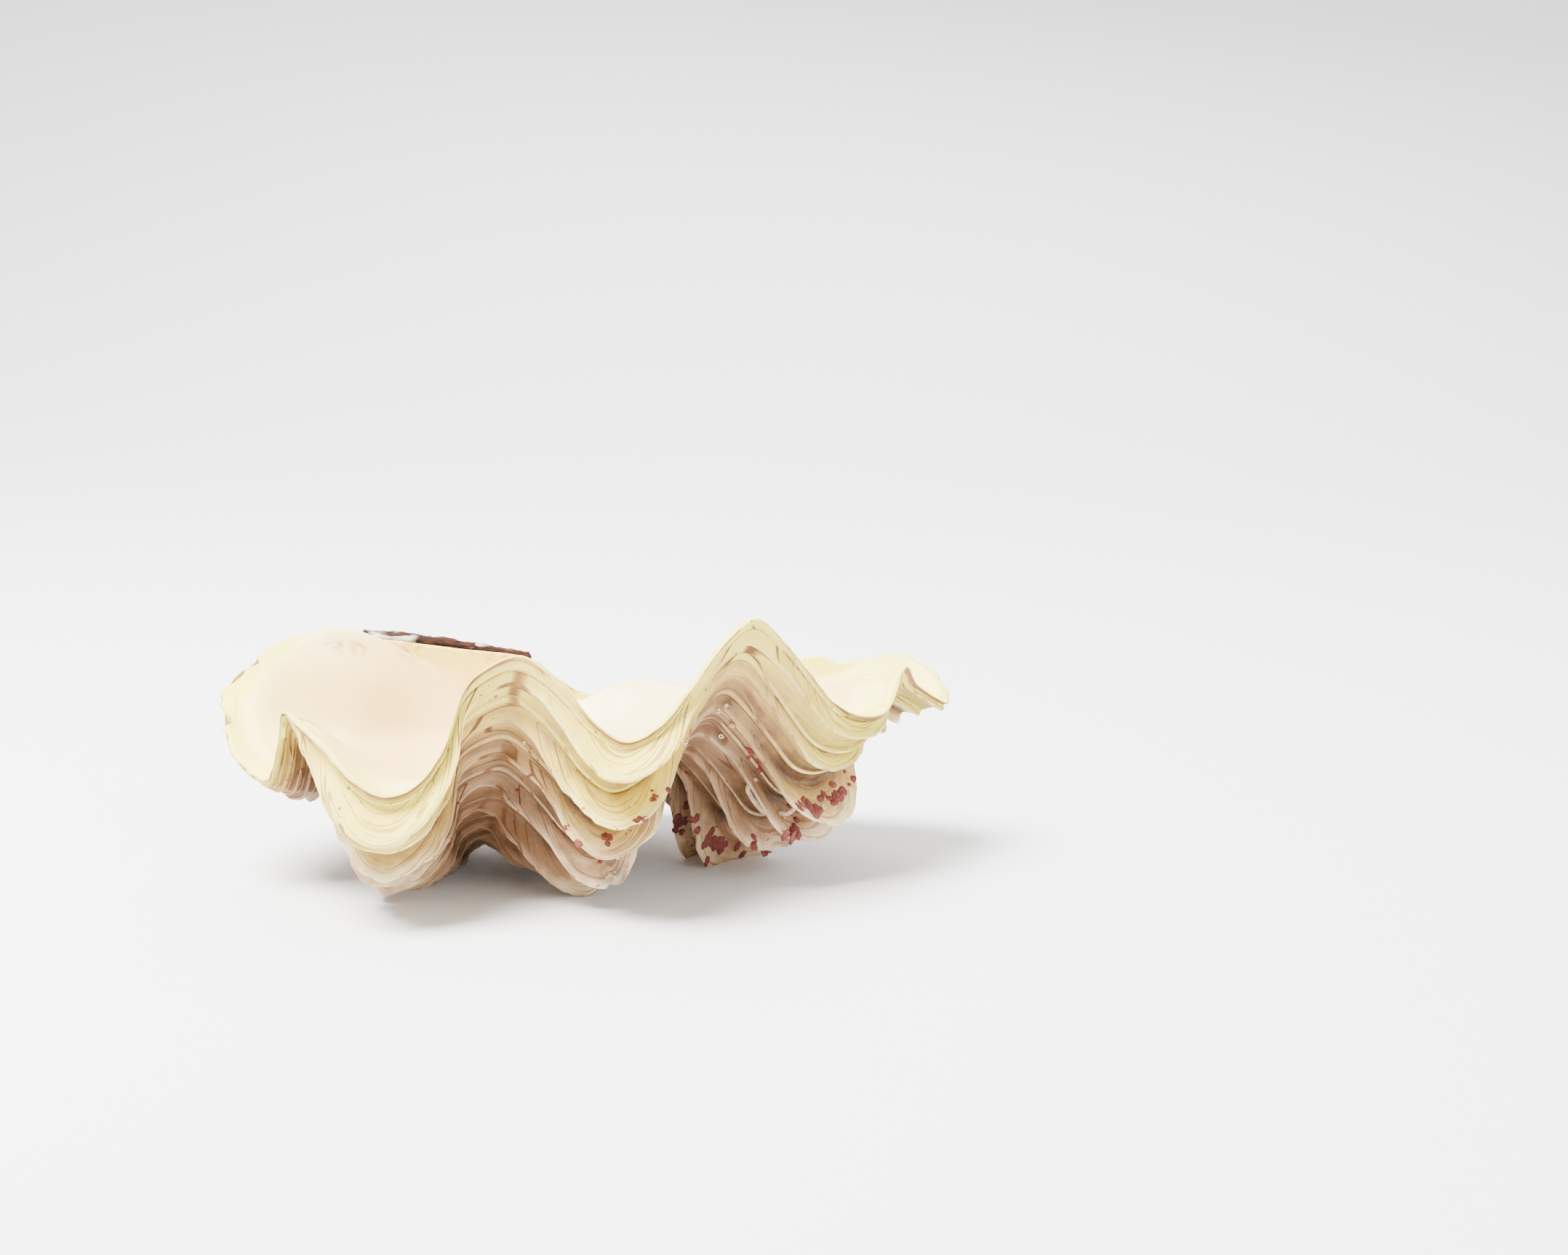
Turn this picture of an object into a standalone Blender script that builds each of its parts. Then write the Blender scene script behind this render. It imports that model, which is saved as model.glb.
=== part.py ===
"""Giant clam shell: one fluted half, lying hollow side up, with the dried ligament of its hinge.

Metres, +Z up. The hinge is at the back (+Y), the free margin at the front (-Y). The shell is worked
out as it grew: the present margin is one closed curve, and every older margin is that curve made
smaller and turned about the hinge. Each flute is an older margin that flared out from the wall.
"""

import math

import bmesh
import bpy
import numpy as np
from mathutils import Vector
from mathutils.bvhtree import BVHTree

MM = 0.001

# The present margin, in mm, from the left end of the hinge round the front and back to the hinge.
# The first value counts ribs: whole at the middle of a rib, a half at the crest between two ribs.
MARGIN = (
    # left shoulder and the spout of rib 0
    (-0.50, -78.0, 60.0, 64.0),
    (-0.42, -94.0, 58.0, 65.0),
    (-0.34, -102.0, 49.0, 65.0),
    (-0.22, -109.0, 36.0, 60.0),
    (-0.10, -113.5, 24.0, 57.0),
    (0.00, -113.5, 10.0, 50.5),
    (0.10, -111.0, 0.0, 43.5),
    (0.20, -102.5, -12.0, 36.0),
    (0.30, -95.0, -20.0, 35.5),
    (0.40, -91.5, -22.0, 45.0),
    # the pinched first crest and rib 1
    (0.50, -89.5, -22.0, 56.0),
    (0.58, -85.0, -28.0, 54.0),
    (0.72, -73.5, -44.0, 49.0),
    (0.86, -65.0, -54.0, 43.0),
    (1.00, -55.5, -58.0, 39.0),
    (1.12, -47.0, -57.0, 41.0),
    (1.25, -38.5, -52.0, 51.0),
    (1.38, -32.5, -46.0, 68.0),
    (1.44, -25.0, -42.0, 74.0),
    # the second crest and rib 2
    (1.50, -18.0, -40.0, 76.0),
    (1.60, -11.0, -42.0, 73.0),
    (1.72, -3.5, -46.0, 67.0),
    (1.86, 5.0, -50.0, 58.0),
    (2.00, 13.5, -52.0, 53.5),
    (2.14, 22.5, -50.0, 57.0),
    (2.30, 31.5, -44.0, 66.5),
    (2.42, 42.5, -32.0, 79.5),
    # the third and tallest crest and rib 3
    (2.50, 51.0, -26.0, 84.5),
    (2.58, 58.5, -24.0, 77.5),
    (2.70, 66.0, -22.0, 68.0),
    (2.84, 73.5, -18.0, 58.0),
    (3.00, 82.5, -8.0, 52.0),
    (3.20, 90.0, 2.0, 52.0),
    # the fourth crest and the drooping spout of rib 4
    (3.50, 96.0, 14.0, 63.0),
    (3.72, 100.0, 24.0, 55.5),
    (4.00, 110.0, 34.0, 48.0),
    (4.15, 109.0, 42.0, 52.5),
    (4.30, 103.0, 50.0, 57.5),
    (4.42, 95.0, 56.0, 59.5),
    # the far margin with its notch and the low gape beside the beak
    (4.50, 87.0, 60.0, 57.5),
    (4.50, 77.5, 62.0, 55.5),
    (4.50, 70.0, 64.0, 57.5),
    (4.50, 56.0, 66.5, 53.0),
    (4.50, 42.0, 68.0, 48.5),
    (4.50, 25.0, 68.0, 44.5),
    (4.50, 9.0, 67.0, 42.0),
    (4.50, -5.0, 66.0, 44.0),
    # the right end of the hinge, at the beak
    (4.50, -16.0, 64.0, 50.5),
    (-0.50, -23.0, 62.0, 56.5),
    (-0.50, -50.0, 61.0, 60.5),
)
STEPS_PER_POINT = 2

# Growth: every margin shrinks towards the beak and turns down about the line of the hinge.
BEAK = np.array([-34.0, 74.0, 48.0])
AXIS = np.array([1.0, 0.0, -0.145])
TURN_AT_MARGIN = 0.22
MARGIN_POWER = 7
TURN_AT_BEAK = 2.0
BEAK_POWER = 2.3
TURN_ON_RIBS = (
    (-0.5, 0.0),
    (0.0, 0.3),
    (0.5, 1.0),
    (1.0, 1.0),
    (1.5, 2.1),
    (2.0, 2.05),
    (2.5, 1.8),
    (3.0, 2.4),
    (3.5, 1.3),
    (4.0, 0.45),
    (4.5, 0.0),
)
FASTER_BETWEEN = (0.55, 0.85)
TURN_BLUR = 10.0
BACK_FROM = 4.0
BACK_TO = 4.45
BACK_BULGE = np.array([0.0, 9.0, -21.0])
BACK_BULGE_SCALE = 2.6
BACK_OUTWARD = np.array([0.0, 0.8, -0.6])

# The saddle between ribs 1 and 2 was lower in a younger shell: where, how far down, at what size.
SADDLE_RIB = 1.5
SADDLE_HALF_WIDTH = 0.34
SADDLE_SAG = np.array([0.0, 0.0, -20.0])
SADDLE_SIZE = 0.56
SADDLE_SPREAD = 0.16
YOUNGEST_RINGS = (0.08, 0.19, 0.31)

# Flutes: the size of the margin that each grew from, and its reach from the wall on each rib, in mm.
FLUTE_SIZES = (0.44, 0.54, 0.635, 0.715, 0.785, 0.845, 0.895, 0.94, 0.975)
FLUTE_REACH = (
    (5, 6, 7, 7, 7, 6, 3, 2, 1.5),
    (7, 8, 9, 12, 13, 13, 15, 13, 16),
    (7, 9, 10, 9, 10, 12, 13, 13, 12),
    (8, 13, 26, 26.5, 15, 14, 14, 4, 3.5),
    (5, 6, 7, 7, 7, 6, 3, 2, 2),
)
LEAST_REACH = 0.8
FLUTE_EDGE = 1.3
FLUTE_ROOT = 0.010
FLARE_ANGLE = math.radians(80)
ARCH_SHARE = 0.35
ARCH_POWER = 0.75

# The hollow: its deepest point, the wall and how fast the folds fade inwards.
HOLLOW_FLOOR = np.array([-8.0, 18.0, 22.0])
HOLLOW_BEND = np.array([-20.0, 55.0, 55.0])
WALL = 8.0
LIP = 2.4
WALL_AT_LIP = 1.5
FADE = 0.45
BOWL_POWER = 1.7
HOLLOW_RINGS = (0.05, 0.13, 0.25, 0.40, 0.58, 0.80)
SMOOTHING = 40.0
HOLLOW_BLUR = 28.0
PATCH_SHARE = 80

# The lowest flutes are worn flat where they rest on the floor. The origin lies under the middle.
FLOOR_Z = 0.5
ORIGIN = np.array([-1.89, 6.04, FLOOR_Z])

# The ligament: a dried strip just behind the hinge, from its left end towards the beak.
LIGAMENT_FROM = np.array([-78.5, 60.4, 64.0])
LIGAMENT_TO = np.array([-24.5, 62.2, 56.9])
LIGAMENT_BACK = (0.4, 7.5)
LIGAMENT_UNDERSIDE = 0.75
LIGAMENT_TOP = (5.2, 3.9)
LIGAMENT_STATIONS = 13
LIGAMENT_SIDES = 10


def smooth_step(low, high, value):
    share = np.clip((value - low) / (high - low), 0.0, 1.0)
    return share * share * (3.0 - 2.0 * share)


def unit(vectors):
    return vectors / np.maximum(np.linalg.norm(vectors, axis=-1, keepdims=True), 1e-9)


def margin_curve(steps):
    """The closed margin as (rib counts, points), on a smooth curve through MARGIN."""
    table = np.array(MARGIN)
    ribs, points = table[:, 0], table[:, 1:]
    count = len(points)
    gaps = np.sqrt(np.linalg.norm(np.roll(points, -1, axis=0) - points, axis=1))
    found_ribs, found = [], []
    for i in range(count):
        p = [points[(i + k) % count] for k in (-1, 0, 1, 2)]
        t0 = -gaps[i - 1]
        t1, t2 = 0.0, gaps[i]
        t3 = t2 + gaps[(i + 1) % count]
        for k in range(steps):
            t = t2 * k / steps
            a1 = (t1 - t) / (t1 - t0) * p[0] + (t - t0) / (t1 - t0) * p[1]
            a2 = (t2 - t) / (t2 - t1) * p[1] + (t - t1) / (t2 - t1) * p[2]
            a3 = (t3 - t) / (t3 - t2) * p[2] + (t - t2) / (t3 - t2) * p[3]
            b1 = (t2 - t) / (t2 - t0) * a1 + (t - t0) / (t2 - t0) * a2
            b2 = (t3 - t) / (t3 - t1) * a2 + (t - t1) / (t3 - t1) * a3
            found.append((t2 - t) / (t2 - t1) * b1 + (t - t1) / (t2 - t1) * b2)
            step = ribs[(i + 1) % count] - ribs[i]
            found_ribs.append(ribs[i] + (step * k / steps if abs(step) < 1 else 0.0))
    return np.array(found_ribs), np.array(found)


def blurred(points, values, reach):
    """Values round the margin, smoothed over this reach in mm."""
    lengths = np.linalg.norm(np.roll(points, -1, axis=0) - points, axis=1)
    place = np.concatenate([[0.0], np.cumsum(lengths)[:-1]])
    apart = np.abs(place[:, None] - place[None, :])
    apart = np.minimum(apart, lengths.sum() - apart)
    weight = np.exp(-0.5 * (apart / reach) ** 2) * lengths[None, :]
    return weight @ values / weight.sum(axis=1, keepdims=True)


class Shell:
    """The present margin, and from it every older one."""

    def __init__(self, steps):
        self.ribs, self.points = margin_curve(steps)
        self.plain = blurred(self.points, self.points, SMOOTHING)
        table = np.array(TURN_ON_RIBS)
        turns = np.interp(self.ribs, table[:, 0], table[:, 1])
        self.turns = blurred(self.points, turns[:, None], TURN_BLUR)[:, 0]
        back = smooth_step(BACK_FROM, BACK_TO, self.ribs)[:, None]
        self.back = blurred(self.points, back, TURN_BLUR)
        self.saddle = np.exp(-(((self.ribs - SADDLE_RIB) / SADDLE_HALF_WIDTH) ** 2))[:, None]

    def grown(self, size, plain=False):
        """The margin when the shell was this share of its present size."""
        axis = AXIS / np.linalg.norm(AXIS)
        arms = (self.plain if plain else self.points) - BEAK
        along = (arms @ axis)[:, None] * axis
        across = arms - along
        whole = TURN_AT_MARGIN * (1 - size**MARGIN_POWER) + TURN_AT_BEAK * (1 - size) ** BEAK_POWER
        faster = np.maximum(self.turns - 1, 0) * smooth_step(*FASTER_BETWEEN, size)
        angle = (whole * (np.minimum(self.turns, 1) + faster))[:, None]
        turned = across * np.cos(angle) + np.cross(axis, across) * np.sin(angle)
        bulge = self.back * BACK_BULGE * BACK_BULGE_SCALE * size * math.sqrt(1 - size)
        sag = self.saddle * SADDLE_SAG * math.exp(-(((size - SADDLE_SIZE) / SADDLE_SPREAD) ** 2))
        return BEAK + size * (along + turned) + bulge + sag

    def growth(self, size, plain=False):
        """How each point moved as the shell grew, in mm for a whole unit of size."""
        step = 0.004
        return (self.grown(size, plain) - self.grown(size - step, plain)) / step

    def outward(self, size, plain=False):
        """The wall's outward normal all along the margin of this size."""
        ring = self.grown(size, plain)
        around = np.roll(ring, -1, axis=0) - np.roll(ring, 1, axis=0)
        found = unit(np.cross(around, self.growth(size, plain)))
        return unit(found * (1 - self.back) + BACK_OUTWARD * self.back)

    def reach(self, flute):
        """How far this flute stands out: most on the ribs, hardly at all on the crests."""
        heights = np.array([reaches[flute] for reaches in FLUTE_REACH], float)
        nearest = np.clip(np.round(self.ribs), 0, len(heights) - 1).astype(int)
        arch = (0.5 + 0.5 * np.cos(2 * math.pi * self.ribs)) ** ARCH_POWER
        arch[(self.ribs <= -0.5) | (self.ribs >= 4.5)] = 0
        return LEAST_REACH + (heights[nearest] - LEAST_REACH) * arch

    def flute_rings(self, flute):
        """The four rings of one flute: its root, the two sides of its edge, and its root again."""
        size = FLUTE_SIZES[flute]
        growth = self.growth(size)
        speed = np.linalg.norm(growth, axis=1)
        forward = unit(growth)
        out = unit(ARCH_SHARE * self.outward(size) + (1 - ARCH_SHARE) * self.outward(size, True))
        out = unit(out - (out * forward).sum(axis=1, keepdims=True) * forward)
        lean = math.cos(FLARE_ANGLE) * forward + math.sin(FLARE_ANGLE) * out
        reach = np.minimum(self.reach(flute), speed * 0.12)
        reach = np.where(speed < 60, np.minimum(reach, FLUTE_ROOT * speed), reach)[:, None]
        half = np.minimum(0.5 * FLUTE_EDGE, 0.6 * FLUTE_ROOT * speed)[:, None]
        edge = self.grown(size) + reach * lean
        return [
            self.grown(size - FLUTE_ROOT),
            edge - half * forward,
            edge + half * forward,
            self.grown(size + FLUTE_ROOT),
        ]


def wall_tree(shell):
    """The smooth wall without its flutes, to measure heights on."""
    sizes = np.linspace(0.20, 1.0, 41)
    rings = [shell.grown(size) for size in sizes]
    count = len(shell.points)
    faces = []
    for j in range(len(sizes) - 1):
        for i in range(count):
            after = (i + 1) % count
            faces.append((j * count + i, j * count + after, (j + 1) * count + after, (j + 1) * count + i))
    return BVHTree.FromPolygons([Vector(p) for p in np.concatenate(rings)], faces)


def wall_height(tree, x, y, spread, otherwise):
    """How high the wall reaches over a small round patch, leaving out its highest spikes."""
    heights = []
    for k in range(13):
        angle = 2 * math.pi * k / 6
        out = spread * (0.0 if k == 12 else 0.5 if k > 5 else 1.0)
        above = Vector((x + out * math.cos(angle), y + out * math.sin(angle), 300.0))
        hit = tree.ray_cast(above, Vector((0, 0, -1)))[0]
        if hit:
            heights.append(hit.z)
    return float(np.percentile(heights, PATCH_SHARE)) if heights else otherwise


def hollow_rings(shell):
    """Rings from the lip down to the floor of the hollow."""
    tree = wall_tree(shell)
    floor = HOLLOW_FLOOR
    flat = np.array([1.0, 1.0, 0.0])
    start = shell.points + LIP * unit((floor - shell.points) * flat) - np.array([0, 0, 0.3])
    rings = [start]
    for t in HOLLOW_RINGS:
        bend = start + 0.35 * (HOLLOW_BEND - start)
        ring = (1 - t) ** 2 * start + 2 * t * (1 - t) * bend + t * t * floor
        fade = smooth_step(0.0, FADE, t)
        thickness = WALL_AT_LIP + (WALL - WALL_AT_LIP) * smooth_step(0.0, 0.16, t)
        edge = start[:, 2] + (shell.plain[:, 2] - start[:, 2]) * fade
        bowl = floor[2] + (edge - floor[2]) * (1 - t) ** BOWL_POWER
        for i, (x, y, _) in enumerate(ring):
            wall = thickness + wall_height(tree, x, y, 1.0 + 16.0 * t, bowl[i] - WALL)
            ring[i, 2] = 0.5 * (wall + bowl[i] + math.sqrt((wall - bowl[i]) ** 2 + 9.0 * fade))
        ring[:, 2] = blurred(shell.points, ring[:, 2:], 1.5 + HOLLOW_BLUR * t)[:, 0]
        rings.append(ring)
    return rings


def shell_rings():
    """Every ring of the shell, from the beak out to the lip and in to the floor of the hollow."""
    shell = Shell(STEPS_PER_POINT)
    rings = [shell.grown(size) for size in YOUNGEST_RINGS]
    for flute in range(len(FLUTE_SIZES)):
        rings += shell.flute_rings(flute)
    rings.append(shell.points)
    return rings + hollow_rings(shell)


def ligament_rings():
    """Cross-sections of the ligament, which lies on the slope between the hinge and the beak."""
    hinge = unit(LIGAMENT_TO - LIGAMENT_FROM)
    rings = []
    for k in range(LIGAMENT_STATIONS):
        t = (k + 0.5) / LIGAMENT_STATIONS
        at = LIGAMENT_FROM + t * (LIGAMENT_TO - LIGAMENT_FROM)
        back = BEAK - at
        back = unit(back - (back @ hinge) * hinge)
        up = np.cross(hinge, back)
        full = math.sin(math.pi * min(max(t, 0.04), 0.96)) ** 0.35
        top = LIGAMENT_TOP[0] + t * (LIGAMENT_TOP[1] - LIGAMENT_TOP[0])
        middle = at + back * sum(LIGAMENT_BACK) / 2 + up * (LIGAMENT_UNDERSIDE + top) / 2
        wide = 0.5 * (LIGAMENT_BACK[1] - LIGAMENT_BACK[0]) * full
        thick = 0.5 * (top - LIGAMENT_UNDERSIDE)
        ring = []
        for side in range(LIGAMENT_SIDES):
            angle = 2 * math.pi * side / LIGAMENT_SIDES
            across = wide * math.copysign(abs(math.cos(angle)) ** 0.7, math.cos(angle))
            lift = thick * math.copysign(abs(math.sin(angle)) ** 0.7, math.sin(angle))
            ring.append(middle + across * back + lift * up)
        rings.append(np.array(ring))
    return rings


def closed_mesh(name, rings, first_pole, last_pole):
    """A closed skin over the rings: a ball of that many rings, its points moved onto them."""
    count = len(rings[0])
    bm = bmesh.new()
    bmesh.ops.create_uvsphere(bm, u_segments=count, v_segments=len(rings) + 1, radius=1.0)
    for vert in bm.verts:
        down = math.acos(max(-1.0, min(1.0, vert.co.z))) / math.pi * (len(rings) + 1)
        ring = round(down) - 1
        if ring < 0:
            place = np.array(first_pole)
        elif ring >= len(rings):
            place = np.array(last_pole)
        else:
            around = math.atan2(vert.co.y, vert.co.x) / (2 * math.pi) * count
            place = np.array(rings[ring][round(around) % count])
        place[2] = max(place[2], FLOOR_Z)
        vert.co = Vector(place - ORIGIN) * MM
    if bm.calc_volume(signed=True) < 0:
        bmesh.ops.reverse_faces(bm, faces=bm.faces)
    mesh = bpy.data.meshes.new(name)
    bm.to_mesh(mesh)
    bm.free()
    return mesh


def material(name, colour, roughness):
    made = bpy.data.materials.new(name)
    made.use_nodes = True
    shader = made.node_tree.nodes["Principled BSDF"]
    shader.inputs["Base Color"].default_value = (*colour, 1.0)
    shader.inputs["Roughness"].default_value = roughness
    return made


def add_object(name, mesh, finish):
    made = bpy.data.objects.new(name, mesh)
    mesh.materials.append(finish)
    mesh.shade_smooth()
    mesh.set_sharp_from_angle(angle=math.radians(40))
    bpy.context.scene.collection.objects.link(made)
    return made


def main():
    for old in list(bpy.data.objects):
        bpy.data.objects.remove(old, do_unlink=True)
    rings = shell_rings()
    floor = rings[-1].mean(axis=0)
    add_object("shell", closed_mesh("shell", rings, BEAK, floor), material("shell", (0.86, 0.78, 0.66), 0.5))
    strip = ligament_rings()
    ends = strip[0].mean(axis=0), strip[-1].mean(axis=0)
    reach = 0.5 * (strip[1] - strip[0]).mean(axis=0)
    strip_mesh = closed_mesh("ligament", strip, ends[0] - reach, ends[1] + reach)
    add_object("ligament", strip_mesh, material("ligament", (0.09, 0.045, 0.03), 0.6))


main()
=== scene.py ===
# %% [markdown]
# # Giant clam shell
# One fluted half of a giant clam lies hollow side up on a pale floor. The CAD solids give the
# shape in coarse facets. This script grows the same shell much finer, adds what lives and dries
# on it, and gives it its colours.

import math

import bmesh
import bpy
import numpy as np
from mathutils import Matrix, Vector
from mathutils.bvhtree import BVHTree


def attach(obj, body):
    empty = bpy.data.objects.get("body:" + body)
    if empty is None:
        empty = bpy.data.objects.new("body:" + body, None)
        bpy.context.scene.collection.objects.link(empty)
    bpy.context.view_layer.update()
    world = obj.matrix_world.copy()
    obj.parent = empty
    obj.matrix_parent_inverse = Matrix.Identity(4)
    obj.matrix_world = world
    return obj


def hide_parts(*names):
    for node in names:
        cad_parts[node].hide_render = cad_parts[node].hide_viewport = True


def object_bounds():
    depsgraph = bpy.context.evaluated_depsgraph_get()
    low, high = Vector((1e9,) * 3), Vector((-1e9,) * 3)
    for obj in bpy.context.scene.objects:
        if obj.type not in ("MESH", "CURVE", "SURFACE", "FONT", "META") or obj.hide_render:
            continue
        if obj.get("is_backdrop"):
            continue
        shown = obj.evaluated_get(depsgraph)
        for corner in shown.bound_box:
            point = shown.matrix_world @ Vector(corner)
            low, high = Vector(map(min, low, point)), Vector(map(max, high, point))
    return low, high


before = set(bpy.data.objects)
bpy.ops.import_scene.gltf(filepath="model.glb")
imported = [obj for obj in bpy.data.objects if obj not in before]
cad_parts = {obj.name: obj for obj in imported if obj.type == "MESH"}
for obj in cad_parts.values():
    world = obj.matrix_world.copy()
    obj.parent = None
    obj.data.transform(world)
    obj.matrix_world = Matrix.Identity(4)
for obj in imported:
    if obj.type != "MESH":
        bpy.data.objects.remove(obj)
size_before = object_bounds()
MM = 0.001
print("CAD nodes:", sorted(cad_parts))


# %% [markdown]
# ## Camera
# The picture was taken from a little above the table, looking 9.6 degrees down, with a lens
# that is 64 mm long on a 36 mm sensor. The place below is in millimetres from the shell's origin.

# %% Camera
CAMERA_AT = Vector((60.2, -831.0, 216.5)) * MM
CAMERA_DOWN = math.radians(9.6)
LENS = 63.8

eye = bpy.data.cameras.new("camera")
eye.lens = LENS
eye.sensor_width = 36
camera = bpy.data.objects.new("camera", eye)
camera.location = CAMERA_AT
camera.rotation_euler = (math.pi / 2 - CAMERA_DOWN, 0, 0)
bpy.context.scene.collection.objects.link(camera)
bpy.context.scene.camera = camera


# %% [markdown]
# ## Floor and light
# A pale floor curves up into a backdrop. One large soft light stands to the left and above, a
# weaker one to the right and another behind, and the world fills the shadows with near-white light.

# %% Floor and backdrop
def link(name, mesh):
    made = bpy.data.objects.new(name, mesh)
    bpy.context.scene.collection.objects.link(made)
    return made


def make_floor():
    bm = bmesh.new()
    bmesh.ops.create_grid(bm, x_segments=1, y_segments=40, size=1.0)
    for vert in bm.verts:
        along = vert.co.y
        bend = max(0.0, along) ** 2.2
        vert.co = Vector((vert.co.x * 3.5, along * 2.6 + 0.9, bend * 2.4))
    mesh = bpy.data.meshes.new("floor")
    bm.to_mesh(mesh)
    bm.free()
    mesh.shade_smooth()
    paint = bpy.data.materials.new("floor")
    paint.use_nodes = True
    shader = paint.node_tree.nodes["Principled BSDF"]
    shader.inputs["Base Color"].default_value = (0.78, 0.78, 0.785, 1)
    shader.inputs["Roughness"].default_value = 0.8
    mesh.materials.append(paint)
    return link("floor", mesh)


floor = make_floor()
floor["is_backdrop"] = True


# %% Lights
LIGHTS_AIM_AT = Vector((0, 0, 0.04))


def soft_light(name, place, size, watts, colour=(1, 1, 1)):
    lamp = bpy.data.lights.new(name, "AREA")
    lamp.size = size
    lamp.energy = watts
    lamp.color = colour
    made = bpy.data.objects.new(name, lamp)
    made.location = place
    made.rotation_euler = (LIGHTS_AIM_AT - Vector(place)).to_track_quat("-Z", "Y").to_euler()
    bpy.context.scene.collection.objects.link(made)


soft_light("window", (-0.55, -0.15, 1.35), 0.8, 165, (1.0, 0.985, 0.96))
soft_light("fill", (1.1, -0.9, 0.7), 1.2, 16, (0.97, 0.985, 1.0))
soft_light("back", (0.2, 1.3, 1.2), 1.2, 45)
world = bpy.data.worlds.new("room")
world.use_nodes = True
sky = world.node_tree.nodes["Background"]
sky.inputs["Color"].default_value = (1.0, 0.995, 0.985, 1)
sky.inputs["Strength"].default_value = 1.15
bpy.context.scene.world = world


# %% [markdown]
# ## How the shell grew
# The margin of today is one closed curve. The numbers are the CAD part's own: an older margin is
# this curve made smaller towards the beak and turned down about the hinge.

# %% Numbers shared with the CAD part
MARGIN = (
    # left shoulder and the spout of rib 0
    (-0.50, -78.0, 60.0, 64.0),
    (-0.42, -94.0, 58.0, 65.0),
    (-0.34, -102.0, 49.0, 65.0),
    (-0.22, -109.0, 36.0, 60.0),
    (-0.10, -113.5, 24.0, 57.0),
    (0.00, -113.5, 10.0, 50.5),
    (0.10, -111.0, 0.0, 43.5),
    (0.20, -102.5, -12.0, 36.0),
    (0.30, -95.0, -20.0, 35.5),
    (0.40, -91.5, -22.0, 45.0),
    # the pinched first crest and rib 1
    (0.50, -89.5, -22.0, 56.0),
    (0.58, -85.0, -28.0, 54.0),
    (0.72, -73.5, -44.0, 49.0),
    (0.86, -65.0, -54.0, 43.0),
    (1.00, -55.5, -58.0, 39.0),
    (1.12, -47.0, -57.0, 41.0),
    (1.25, -38.5, -52.0, 51.0),
    (1.38, -32.5, -46.0, 68.0),
    (1.44, -25.0, -42.0, 74.0),
    # the second crest and rib 2
    (1.50, -18.0, -40.0, 76.0),
    (1.60, -11.0, -42.0, 73.0),
    (1.72, -3.5, -46.0, 67.0),
    (1.86, 5.0, -50.0, 58.0),
    (2.00, 13.5, -52.0, 53.5),
    (2.14, 22.5, -50.0, 57.0),
    (2.30, 31.5, -44.0, 66.5),
    (2.42, 42.5, -32.0, 79.5),
    # the third and tallest crest and rib 3
    (2.50, 51.0, -26.0, 84.5),
    (2.58, 58.5, -24.0, 77.5),
    (2.70, 66.0, -22.0, 68.0),
    (2.84, 73.5, -18.0, 58.0),
    (3.00, 82.5, -8.0, 52.0),
    (3.20, 90.0, 2.0, 52.0),
    # the fourth crest and the drooping spout of rib 4
    (3.50, 96.0, 14.0, 63.0),
    (3.72, 100.0, 24.0, 55.5),
    (4.00, 110.0, 34.0, 48.0),
    (4.15, 109.0, 42.0, 52.5),
    (4.30, 103.0, 50.0, 57.5),
    (4.42, 95.0, 56.0, 59.5),
    # the far margin with its notch and the low gape beside the beak
    (4.50, 87.0, 60.0, 57.5),
    (4.50, 77.5, 62.0, 55.5),
    (4.50, 70.0, 64.0, 57.5),
    (4.50, 56.0, 66.5, 53.0),
    (4.50, 42.0, 68.0, 48.5),
    (4.50, 25.0, 68.0, 44.5),
    (4.50, 9.0, 67.0, 42.0),
    (4.50, -5.0, 66.0, 44.0),
    # the right end of the hinge, at the beak
    (4.50, -16.0, 64.0, 50.5),
    (-0.50, -23.0, 62.0, 56.5),
    (-0.50, -50.0, 61.0, 60.5),
)
BEAK = np.array([-34.0, 74.0, 48.0])
AXIS = np.array([1.0, 0.0, -0.145])
TURN_ON_RIBS = (
    (-0.5, 0.0),
    (0.0, 0.3),
    (0.5, 1.0),
    (1.0, 1.0),
    (1.5, 2.1),
    (2.0, 2.05),
    (2.5, 1.8),
    (3.0, 2.4),
    (3.5, 1.3),
    (4.0, 0.45),
    (4.5, 0.0),
)
FLUTE_SIZES = (0.44, 0.54, 0.635, 0.715, 0.785, 0.845, 0.895, 0.94, 0.975)
FLUTE_REACH = (
    (5, 6, 7, 7, 7, 6, 3, 2, 1.5),
    (7, 8, 9, 12, 13, 13, 15, 13, 16),
    (7, 9, 10, 9, 10, 12, 13, 13, 12),
    (8, 13, 26, 26.5, 15, 14, 14, 4, 3.5),
    (5, 6, 7, 7, 7, 6, 3, 2, 2),
)
HOLLOW_FLOOR = np.array([-8.0, 18.0, 22.0])
HOLLOW_BEND = np.array([-20.0, 55.0, 55.0])
FLOOR_Z = 0.5
ORIGIN = np.array([-1.89, 6.04, FLOOR_Z])
FLUTE_LEAN = math.radians(80)
# behind rib 4 the older wall bulges outwards, and its flutes point this way
BACK_FROM, BACK_TO = 4.0, 4.45
BACK_BULGE = np.array([0.0, 9.0, -21.0])
BACK_BULGE_SCALE = 2.6
BACK_OUTWARD = np.array([0.0, 0.8, -0.6])
# between ribs 1 and 2 it sags, most at this size and spreading this far
SADDLE_RIB, SADDLE_HALF_WIDTH = 1.5, 0.34
SADDLE_SAG = np.array([0.0, 0.0, -20.0])
SADDLE_SIZE, SADDLE_SPREAD = 0.56, 0.16
# the rings further in are measured on the wall, at this percentile of the heights round a place
PATCH_SHARE = 80
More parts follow.
